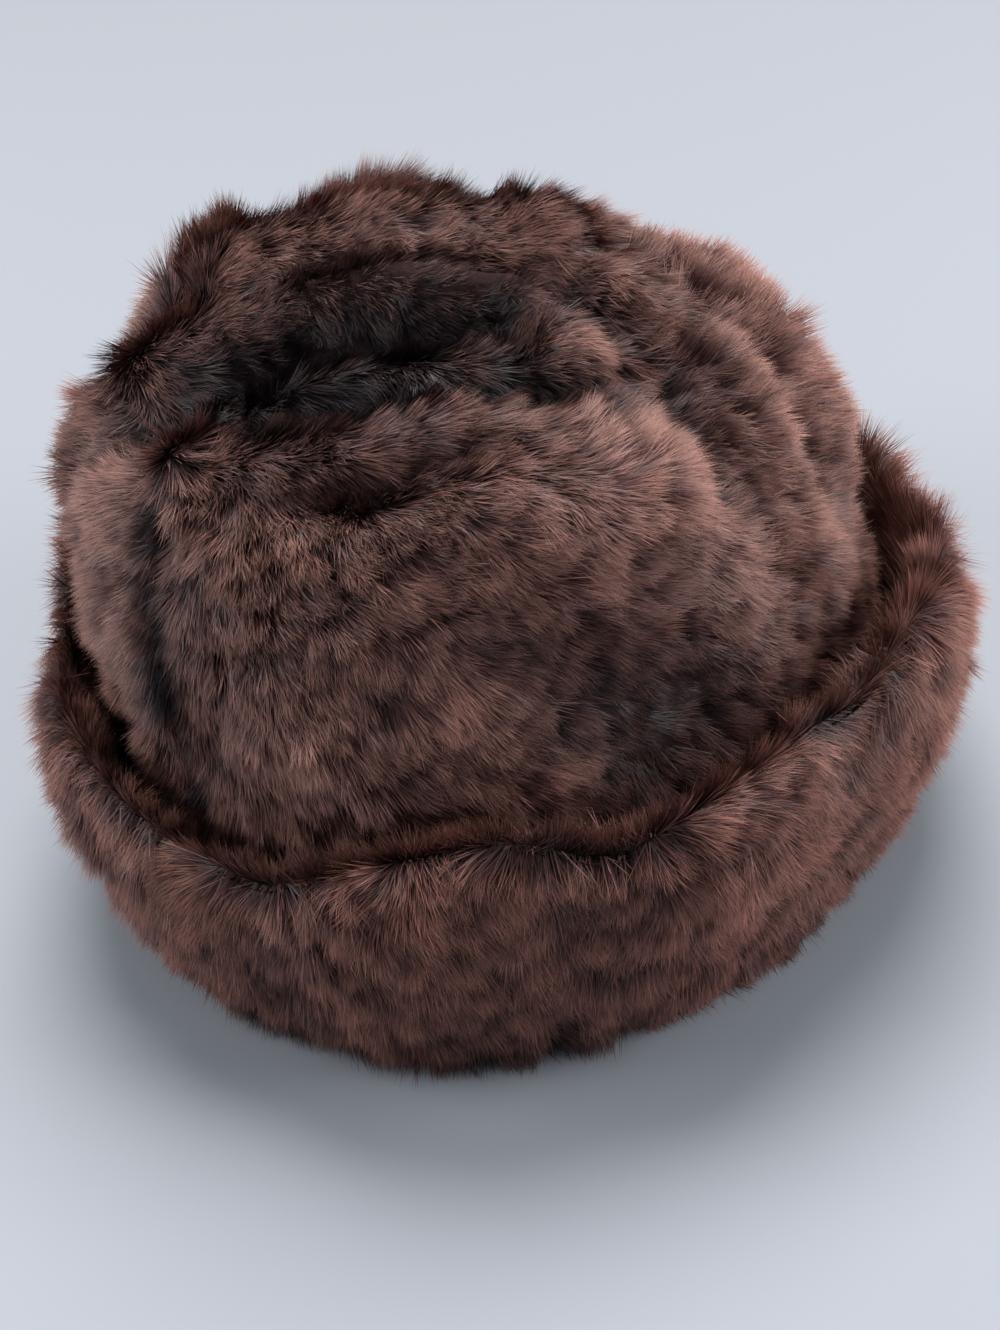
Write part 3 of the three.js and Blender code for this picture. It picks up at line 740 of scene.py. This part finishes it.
# %% [markdown]
# Thin triangles lit by their own flat sides would glitter like straw. Real fur scatters light, so that a
# strand shades like the soft tuft that it is part of. Each strand therefore gets a normal that points out of
# its tuft and away from the tuft's middle, as on a small cushion.


# %% Grow, gather and map the strands
def soft_facing(board, place, tuft_middle, tuft_stance):
    faced = board.node("FunctionNodeRotateVector", inputs={0: FACED, 1: tuft_stance})[0]
    from_middle = board.vector("SUBTRACT", place, tuft_middle)
    return board.vector("ADD", faced, board.scaled(from_middle, board.given["Roundness"] / board.given["Tuft"]))


def grown(board, points, stance):
    length = board.field("pile") * board.chance(*STRAND_LENGTHS, 5)
    width = board.given["Width"] * board.chance(*STRAND_WIDTHS, 6)
    strands = board.node("GeometryNodeInstanceOnPoints", inputs={
        "Points": points,
        "Instance": board.node("GeometryNodeObjectInfo", inputs={"Object": board.given["Strand"]})["Geometry"],
        "Rotation": stance,
        "Scale": board.triple(length, width, length),
    })[0]
    return board.node("GeometryNodeRealizeInstances", inputs={0: strands})[0]


def drawn(board, fur, way, pull):
    """Draws the tips together, along the way to the middle of their lock or tuft."""
    offset = board.scaled(board.field(way, "FLOAT_VECTOR"), board.field("along") * pull)
    return board.node("GeometryNodeSetPosition", inputs={"Geometry": fur, "Offset": offset})[0]


def kept_off_the_floor(board, fur):
    parts = board.split(board.place())
    above = board.triple(parts["X"], parts["Y"], parts["Z"].maths("MAXIMUM", board.given["Floor"]))
    return board.node("GeometryNodeSetPosition", inputs={"Geometry": fur, "Position": above})[0]


def mapped(board, fur):
    """Lays each strand on its own column of the colour strip, with a little room at the edges."""
    column = board.field("own_shade") * 0.96 + board.field("side") * 0.02 + 0.01
    row = board.field("along") * 0.98 + 0.01
    return board.stored(fur, MAP, board.triple(column, row, 0.0), "FLOAT2", "CORNER")


# %% The fur tree
def make_fur_tree():
    tree = bpy.data.node_groups.new("fur", "GeometryNodeTree")
    kinds = {"Guide": "Geometry", **dict.fromkeys(FUR_SIZES, "Float")}
    kinds.update({"Seed": "Int", "Strand": "Object", "Material": "Material"})
    for name, kind in kinds.items():
        tree.interface.new_socket(name, in_out="INPUT", socket_type="NodeSocket" + kind)
    tree.interface.new_socket("Fur", in_out="OUTPUT", socket_type="NodeSocketGeometry")
    board = FurBoard(tree)
    given, place = board.given, board.place()
    lock, tuft = board.gathered(place, given["Lock"]), board.gathered(place, given["Tuft"])
    points = scattered(board, place, lock, tuft)
    tuft_stance, stance = stances(board, tuft[1])
    points = board.stored(points, "facing", soft_facing(board, place, tuft[0], tuft_stance), "FLOAT_VECTOR")
    fur = grown(board, points, stance)
    fur = drawn(board, fur, "to_lock", given["Lock pull"])
    fur = drawn(board, fur, "to_tuft", given["Tuft pull"])
    fur = mapped(board, kept_off_the_floor(board, fur))
    fur = board.node("GeometryNodeSetMaterial", inputs={"Geometry": fur, "Material": given["Material"]})[0]
    facing = board.vector("NORMALIZE", board.field("facing", "FLOAT_VECTOR"))
    fur = board.node("GeometryNodeSetMeshNormal", {"mode": "FREE", "domain": "POINT"}, {
        "Mesh": fur, "Custom Normal": facing})[0]
    board.node("NodeGroupOutput", inputs={0: fur})
    return tree


fur_tree = make_fur_tree()
print("the fur tree has", len(fur_tree.nodes), "nodes")

# %% Grow fur on a guide
# The shade field holds the fur's own tone together with painted shade and painted highlight.
GUIDE_FIELDS = ("up", "nap", "pile", "pitch", "shade", "thickness")
STRAND_FIELDS = ("to_lock", "to_tuft", "own_shade", "facing", "along", "side")


def grown_fur(name, guide, material, seed, **changes):
    """A plain mesh of fur on a guide mesh, which is used up."""
    modifier = guide.modifiers.new("fur", "NODES")
    modifier.node_group = fur_tree
    values = {**FUR_SIZES, **changes, "Seed": seed, "Strand": strand, "Material": material}
    for item in fur_tree.interface.items_tree:
        if item.item_type == "SOCKET" and item.in_out == "INPUT" and item.name in values:
            modifier[item.identifier] = values[item.name]
    guide.update_tag()
    bpy.context.view_layer.update()
    settled = guide.evaluated_get(bpy.context.evaluated_depsgraph_get())
    mesh = bpy.data.meshes.new_from_object(settled)
    guide.modifiers.remove(modifier)
    for extra in STRAND_FIELDS + GUIDE_FIELDS:
        if extra in mesh.attributes:
            mesh.attributes.remove(mesh.attributes[extra])
    mesh.name = name
    piece = bpy.data.objects.new(name, mesh)
    bpy.context.scene.collection.objects.link(piece)
    plain = guide.data
    bpy.data.objects.remove(guide)
    bpy.data.meshes.remove(plain)
    mesh.calc_loop_triangles()
    print(name, len(mesh.loop_triangles), "triangles")
    return piece


# %% [markdown]
# The lie of the fur is what the eye reads first: on the top panel it sweeps one way, on the side band it
# hangs and turns away from the back seam, and on the cuff it comes up from inside, over the roll and down.
# It could be combed by hand. Here guides follow the crown's and the cuff's rules, and slow waves in the
# fur's turn, length and pitch part it further, as wear does.


# %% Slow waves
def waves(points, size, seed):
    """Smooth noise of about -1 to 1 whose lumps are about size across."""
    draw = np.random.default_rng(seed)
    total = np.zeros(len(points))
    for _ in range(7):
        way = draw.normal(size=3)
        way *= draw.uniform(0.7, 1.5) * 2 * math.pi / (size * np.linalg.norm(way))
        total += np.sin(points @ way + draw.uniform(0, 2 * math.pi))
    return total / 3


def terraces(points, way, spacing, seed):
    """Crushed fur lies in short shingled rows. Saw-like waves that run along way, about -1 to 1."""
    bent = way * 2 * math.pi / spacing + 1.9 * waves(points, 60, seed) + 0.6 * waves(points, 24, seed + 1)
    strength = 0.6 + 0.4 * np.clip(waves(points, 50, seed + 2), -1, 1)
    return (np.sin(bent) + 0.35 * np.sin(2 * bent)) * strength


print("waves and rows are ready")


# %% Guide meshes
def unit(vectors):
    return vectors / np.linalg.norm(vectors, axis=1)[:, None]


def turned_nap(down, side, degrees):
    turn = np.radians(degrees)[:, None]
    return unit(down * np.cos(turn) + side * np.sin(turn))


def guide_mesh(name, points, rows, closed, fields):
    """A grid of points in rows, with a value of each field at each point."""
    columns = len(points) // rows
    faces = []
    for i in range(rows - 1):
        for j in range(columns if closed else columns - 1):
            a, b = i * columns + j, i * columns + (j + 1) % columns
            faces.append((a, a + columns, b + columns, b))
    guide = mesh_object(name, points, faces, [])
    for field, values in fields.items():
        wide = np.ndim(values) == 2
        kind, key = ("FLOAT_VECTOR", "vector") if wide else ("FLOAT", "value")
        attribute = guide.data.attributes.new(field, kind, "POINT")
        attribute.data.foreach_set(key, np.ravel(values).astype(np.float32))
    return guide


print("guides carry", ", ".join(GUIDE_FIELDS))

# %% [markdown]
# Between the great folds the fur lies in small lips and partings, a few millimetres high. They aren't folds
# of the cloth, so the wall stays as it is, and only the guide, the pile and the shade follow them: the lips
# get painted highlight and the partings painted shade.

# %% Small lips and partings of the crown's fur
RIPPLES = (
    # name, rise, width, three places, as for the folds
    ("far side of the great hollow", -6, 11, ((160, 20), (295, 18), (311, 56))),
    ("lip of the great hollow", 5, 5, ((3, 16), (325, 44), (313, 66))),
    ("valley outside that lip", -4, 6, ((334, 52), (314, 76), (301, 94))),
    ("tuft in the hollow", 4, 5, ((147, 43), (154, 27), (178, 18))),
    ("right end of that lip", 4, 6, ((314, 65), (304, 79), (296, 84))),
    ("middle lip", 4, 5, ((254, 41), (280, 57), (294, 79))),
    ("curl", 4, 4, ((235, 49), (241, 61), (238, 73))),
    ("lip over the crease", 4, 4, ((215, 77), (226, 79), (237, 80))),
    ("pale patch", 4, 12, ((255, 70), (264, 87), (266, 106))),
    ("end of the pale patch", 3, 10, ((266, 106), (271, 120), (275, 141))),
    ("side lip, middle", 3.5, 5, ((219, 142), (227, 138), (234, 144))),
    ("side lip, below it", 3.5, 5, ((217, 155), (225, 147), (230, 158))),
    ("side lip, lowest", 3, 6, ((222, 165), (229, 176), (238, 170))),
    ("side lip by the seam", 3, 5, ((192, 159), (200, 151), (205, 152))),
    ("short lip", 3, 4, ((208, 120), (212, 122), (215, 126))),
    ("upper short lip", 3, 5, ((215, 104), (220, 109), (223, 113))),
    ("tuft right of the seam", 3, 8, ((195, 96), (201, 91), (209, 104))),
    ("parting under the crease", -4, 4, ((212, 101), (211, 110), (210, 120))),
    ("second parting", -3, 3, ((225, 105), (224, 111), (223, 118))),
    ("crease right of the seam", -3.5, 3, ((197, 130), (202, 127), (206, 127))),
    ("slanting crease", -3, 3, ((214, 145), (217, 137), (219, 132))),
    ("low crease", -3, 3, ((213, 168), (216, 158), (217, 151))),
    ("crease between lips", -3, 3, ((226, 125), (231, 130), (238, 134))),
    ("dark hollow over the cuff", -4, 11, ((240, 173), (249, 171), (262, 165))),
    ("dark hollow's upper end", -1.5, 8, ((241, 150), (250, 149), (258, 152))),
    ("right shoulder", 8, 14, ((326, 98), (320, 115), (313, 136))),
    ("front lip, left", 4, 6, ((30, 110), (38, 125), (48, 138))),
    ("front lip, right", 4, 6, ((330, 120), (340, 135), (352, 140))),
    ("front crease", -3, 4, ((0, 100), (8, 120), (4, 145))),
    ("left lip", 4, 6, ((80, 105), (88, 120), (98, 140))),
    ("left crease", -3, 4, ((110, 110), (112, 130), (106, 155))),
    ("lip left of the seam", 3, 6, ((160, 105), (164, 125), (162, 150))),
)
RIPPLE_LINES = [(rise, width, fold_line(path)) for _, rise, width, path in RIPPLES]
print(len(RIPPLES), "lips and partings")

# %% Lie of the crown's fur
NAP = {"top_towards": 290.0, "left": 45.0, "right": 28.0, "parted": 32.0, "cuff": 14.0}


def crown_nap(azimuth, arc):
    """Degrees that the fur is turned from straight down, towards rising azimuths."""
    from_seam = azimuth_gap(azimuth, BACK_SEAM["azimuth"])
    parted = NAP["parted"] * np.tanh(seam_distance(azimuth, arc) / 9)
    side = parted + np.clip(from_seam, -NAP["right"], NAP["left"]) * (1 - np.abs(from_seam) / 240) * 0.5
    top = azimuth_gap(NAP["top_towards"], azimuth)
    share = smoothstep(arc, TOP_SEAM_ARC - 14, TOP_SEAM_ARC + 6)
    return top + (side - top) * share


def crown_ways(azimuth, arc, step=0.8):
    """Unit vectors out of the crown's skin, down along it, and along it towards rising azimuths."""
    place = flat_place(azimuth, arc)

    def moved(dx, dy):
        there = place + (dx, dy)
        turned = np.degrees(np.arctan2(there[:, 0], -there[:, 1]))
        return crown_point(turned, np.linalg.norm(there, axis=1), UNDERFUR)

    across = moved(step, 0) - moved(-step, 0)
    deep = moved(0, step) - moved(0, -step)
    down, side = (flat_place(azimuth + angle, np.ones(len(azimuth))) for angle in (0, 90))
    ways = [unit(across * way[:, :1] + deep * way[:, 1:]) for way in (down, side)]
    return unit(np.cross(across, deep)), *ways


def seam_slits(azimuth, arc):
    """Where the fur parts at the back seam, 0 to 1: a line that winds and breaks off here and there."""
    slit = bell(seam_distance(azimuth, arc) - 2.2 * np.sin(arc / 9.0), 4.2)
    slit *= smoothstep(arc, 88, 96)
    slit *= 1 - smoothstep(arc, 190, 200)
    return slit * (0.45 + 0.55 * smoothstep(np.sin(arc / 4.6) + 0.4 * np.sin(arc / 1.9), -0.5, 0.4))


print("the top's fur lies towards azimuth", NAP["top_towards"])


# %% Guides of the crown
def crown_guide(name, azimuths, arcs, closed):
    azimuth, arc = np.tile(azimuths, len(arcs)), np.repeat(arcs, len(azimuths))
    ripple = rise_along(RIPPLE_LINES, azimuth, arc)
    skin = crown_point(azimuth, arc, UNDERFUR + 0.7 * ripple)
    up, down, side = crown_ways(azimuth, arc)
    nap = turned_nap(down, side, crown_nap(azimuth, arc) + 22 * waves(skin, 46, 3) + 14 * waves(skin, 19, 4))
    rise = fold_rise(azimuth, arc)
    rows = terraces(skin, arc, 15.0, 20)
    slit = seam_slits(azimuth, arc)
    high = bell(azimuth_gap(azimuth, 78), 38) * bell(arc - TOP_SEAM_ARC + 4, 26)  # the high left shoulder
    pile = (11.3 + 0.12 * np.clip(rise, -16, 10) + 0.6 * waves(skin, 24, 5) + 1.3 * rows
            - 6.5 * slit + 0.25 * ripple + 6.0 * high)
    pitch = 0.04 + 0.12 * waves(skin, 30, 6) + 0.08 * waves(skin, 13, 7) + 0.20 * rows
    # Painted light in the shade: painted shade in the fold hollows and painted highlight on the ridges, from
    # painted shade. The waves are the fur's own uneven tone.
    # the rise; the rows and ripples get paler lips and darker dips and partings, and the seam's slits get
    shade = 0.60 + 0.048 * np.clip(rise, -18, 0) + 0.030 * np.clip(rise, 0, 8) + 0.06 * waves(skin, 34, 8)
    shade += 0.12 * rows - 1.3 * slit + 0.065 * np.clip(ripple, -6, 4)
    return guide_mesh(name, skin, len(arcs), closed, {
        "up": up, "nap": nap, "pile": pile * MM, "pitch": pitch, "shade": shade, "thickness": 1 - 0.9 * slit})


TOP_FUR_ARCS = np.append(0.6, np.linspace(2.5, TOP_SEAM_ARC - 0.5, 44))
SIDE_FUR_ARCS = np.linspace(TOP_SEAM_ARC + 0.5, 206, 60)
ALL_ROUND = np.arange(0, 360, 1.5)
BACK_HALF = np.arange(136, 316.1, 1.0)
FRONT_HALF = np.arange(-44, 136.1, 1.0)
guides = {
    "crown_top_fur": crown_guide("top_guide", ALL_ROUND, TOP_FUR_ARCS, True),
    "crown_side_fur_back": crown_guide("side_back_guide", BACK_HALF, SIDE_FUR_ARCS, False),
    "crown_side_fur_front": crown_guide("side_front_guide", FRONT_HALF, SIDE_FUR_ARCS, False),
}
print("crown guides:", sorted(guides))


# %% Lie of the cuff's fur
def cuff_ways(azimuth, place, depth):
    """Unit vectors out of the cuff's skin, down along its section, and towards rising azimuths."""
    before, after = np.clip(place - 0.15, 0, CUFF_END), np.clip(place + 0.15, 0, CUFF_END)
    down = unit(cuff_point(azimuth, before, depth) - cuff_point(azimuth, after, depth))
    side = unit(cuff_point(azimuth + 0.5, place, depth) - cuff_point(azimuth - 0.5, place, depth))
    return unit(np.cross(down, side)), down, side


print("the cuff's fur is turned by", NAP["cuff"], "degrees")


# %% Guides of the cuff
def cuff_guide(name, azimuths, places):
    azimuth, place = np.tile(azimuths, len(places)), np.repeat(places, len(azimuths))
    crest = bell(place - ROLL_TOP, 1.6)
    depth = CUFF_UNDERFUR + 2.4 * crest
    skin = cuff_point(azimuth, place, depth)
    up, down, side = cuff_ways(azimuth, place, depth)
    turn = NAP["cuff"] + (22 + 22 * crest) * waves(skin, 40, 13) + (14 + 16 * crest) * waves(skin, 17, 14)
    lump = lump_rise(azimuth, place, section(place, *round_table(azimuth))[2])
    outside = 1 - smoothstep(place, ROLL_TOP, ROLL_TOP + 2)
    inside = smoothstep(place, ROLL_TOP + 1.2, ROLL_TOP + 2.6)
    low = 1 - smoothstep(place, 1, 4.2)
    full = bell(azimuth_gap(azimuth, 312), 30)  # here the roll lies against the crown
    rows = terraces(skin, -8.0 * place, 19.0, 30)
    combed = terraces(skin, 2.3 * azimuth, 11.0, 40) * smoothstep(place, 2.6, 4.2) * outside
    pile = (12.0 - 2.5 * low - 3.0 * (1 - smoothstep(place, 0.4, 1.4)) + 0.7 * waves(skin, 22, 15)
            + 0.8 * rows + 1.7 * combed)
    pile += full * (4.5 * smoothstep(place, 4, ROLL_TOP) + 3.0 * smoothstep(place, ROLL_TOP - 0.5, ROLL_TOP + 1.5))
    pitch = 0.12 * waves(skin, 28, 16) + 0.08 * waves(skin, 12, 17) + 0.08 * low + 0.12 * rows + 0.30 * crest
    # Painted light in the shade: painted shade low on the cuff, on the roll's inner side and in the lumps' dents;
    # and the rows get paler lips and darker partings. The waves are the fur's own uneven tone.
    # painted highlight on the crest, on the bulges and where the roll lies against the crown; the combed locks
    shade = (0.58 - 0.38 * low * outside + 0.08 * waves(skin, 30, 18) + 0.08 * smoothstep(place, 5, 7)
             + 0.08 * rows)
    shade += 0.18 * combed + 0.05 * np.clip(lump, -4, 2) - 0.45 * inside * (1 - 0.8 * full)
    shade += 0.26 * full
    thickness = 0.25 + 0.75 * (1 - smoothstep(place, 8.6, 9.6)) * smoothstep(place, 0.6, 1.2)
    return guide_mesh(name, skin, len(places), False, {
        "up": up, "nap": turned_nap(down, side, turn), "pile": pile * MM,
        "pitch": pitch, "shade": shade, "thickness": thickness})


CUFF_FUR_PLACES = np.linspace(0.3, 10.4, 70)
guides["cuff_fur_back"] = cuff_guide("cuff_back_guide", BACK_HALF, CUFF_FUR_PLACES)
guides["cuff_fur_front"] = cuff_guide("cuff_front_guide", FRONT_HALF, CUFF_FUR_PLACES)
print("cuff guides:", [name for name in guides if name.startswith("cuff")])

# %% [markdown]
# The side band and the cuff are each grown in two halves, back and front, so that no piece of fur has more
# than 200,000 triangles. The cuff's deeper pile hides its skin with fewer strands.

# %% Grow all the fur
CUFF_STRANDS = 3700000.0
furs = {}
for seed, (name, guide) in enumerate(guides.items()):
    if name.startswith("cuff"):
        furs[name] = grown_fur(name, guide, cuff_fur, seed, Strands=CUFF_STRANDS)
    else:
        furs[name] = grown_fur(name, guide, crown_fur, seed)
strand_mesh = strand.data
bpy.data.objects.remove(strand)
bpy.data.meshes.remove(strand_mesh)
print("strands of fur grown on", len(furs), "pieces")

# %% [markdown]
# The hat has no joints, so every piece rides on its one body. Each wall takes its solid's place, and the fur
# is added to it.

# %% Hand the pieces to the frame
for node, wall in walls.items():
    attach(wall, "root")
    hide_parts(node)
for name, fur in furs.items():
    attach(fur, "root")
print("every piece rides on the hat")

# %% [markdown]
# The hat rests on a plain pale floor in soft studio light. A sun with a very wide disc stands for a broad
# lamp overhead, because it lights the floor evenly far out. A weaker area lamp at each side shows the folds,
# and a pale sky fills the shadows.


# %% Floor and light
def make_floor(size=30.0):
    half = size / 2 / MM
    corners = [(-half, -half, 0), (half, -half, 0), (half, half, 0), (-half, half, 0)]
    material, _, shader = blank_material("pale_floor")
    shader.inputs["Base Color"].default_value = (0.205, 0.216, 0.237, 1)
    shader.inputs["Roughness"].default_value = 0.8
    floor = mesh_object("floor", corners, [(0, 1, 2, 3)], [material])
    return floor


def aimed_lamp(kind, name, place, target=(0.0, 0.0, 0.09), **settings):
    lamp = bpy.data.lights.new(name, kind)
    for setting, value in settings.items():
        setattr(lamp, setting, value)
    holder = bpy.data.objects.new(name, lamp)
    holder.location = place
    holder.rotation_euler = (Vector(target) - Vector(place)).to_track_quat("-Z", "Y").to_euler()
    bpy.context.scene.collection.objects.link(holder)
    return holder


def make_sky(colour=(0.88, 0.92, 1.0), strength=0.50):
    sky = bpy.data.worlds.new("pale_sky")
    sky.use_nodes = True
    background = sky.node_tree.nodes["Background"]
    background.inputs["Color"].default_value = (*colour, 1)
    background.inputs["Strength"].default_value = strength
    bpy.context.scene.world = sky


floor = make_floor()
aside = {"size": 0.7, "color": (0.95, 0.97, 1.0)}
lamps = [
    aimed_lamp("SUN", "overhead", (0.28, -0.36, 1.0), energy=5.6, angle=math.radians(36)),
    aimed_lamp("AREA", "left_side", (0.85, 0.85, 0.65), energy=15.0, **aside),
    aimed_lamp("AREA", "right_side", (-1.0, -0.70, 0.60), energy=20.0, **aside),
]
make_sky()
print(len(lamps), "lamps")

# %% [markdown]
# The camera looks down on the back of the hat, a little from its right, and is rolled so that the rim
# climbs to the right as it does in the photograph. Its place and its lens were found by fitting the hat's
# outline and rim to the picture. The shift only sets the hat where it stands in the frame.

# %% Camera
VIEW = {"azimuth": 226.0, "elevation": 37.5, "roll": 7.0, "distance": 0.576, "target": (0.0, 0.0, 0.072)}
PICTURE = (1000, 1330)
FOCAL_PIXELS = 1828.0
TARGET_PIXEL = (494.0, 589.0)


def make_camera():
    azimuth, elevation, roll = (math.radians(VIEW[key]) for key in ("azimuth", "elevation", "roll"))
    level = math.cos(elevation)
    back = Vector((math.sin(azimuth) * level, -math.cos(azimuth) * level, math.sin(elevation)))
    right = Vector((math.cos(azimuth), math.sin(azimuth), 0))
    up = back.cross(right)
    turned_right = right * math.cos(roll) - up * math.sin(roll)
    turned_up = up * math.cos(roll) + right * math.sin(roll)
    axes = Matrix((turned_right, turned_up, back)).transposed()
    camera = bpy.data.cameras.new("camera")
    long_side = max(PICTURE)
    camera.sensor_width = 36.0
    camera.lens = FOCAL_PIXELS / long_side * camera.sensor_width
    camera.shift_x = (PICTURE[0] / 2 - TARGET_PIXEL[0]) / long_side
    camera.shift_y = (TARGET_PIXEL[1] - PICTURE[1] / 2) / long_side
    holder = bpy.data.objects.new("camera", camera)
    place = Vector(VIEW["target"]) + back * VIEW["distance"]
    holder.matrix_world = Matrix.Translation(place) @ axes.to_4x4()
    bpy.context.scene.collection.objects.link(holder)
    bpy.context.scene.camera = holder
    return holder


camera = make_camera()
bpy.context.scene.view_settings.view_transform = "Standard"
print("lens", round(camera.data.lens, 1), "mm")
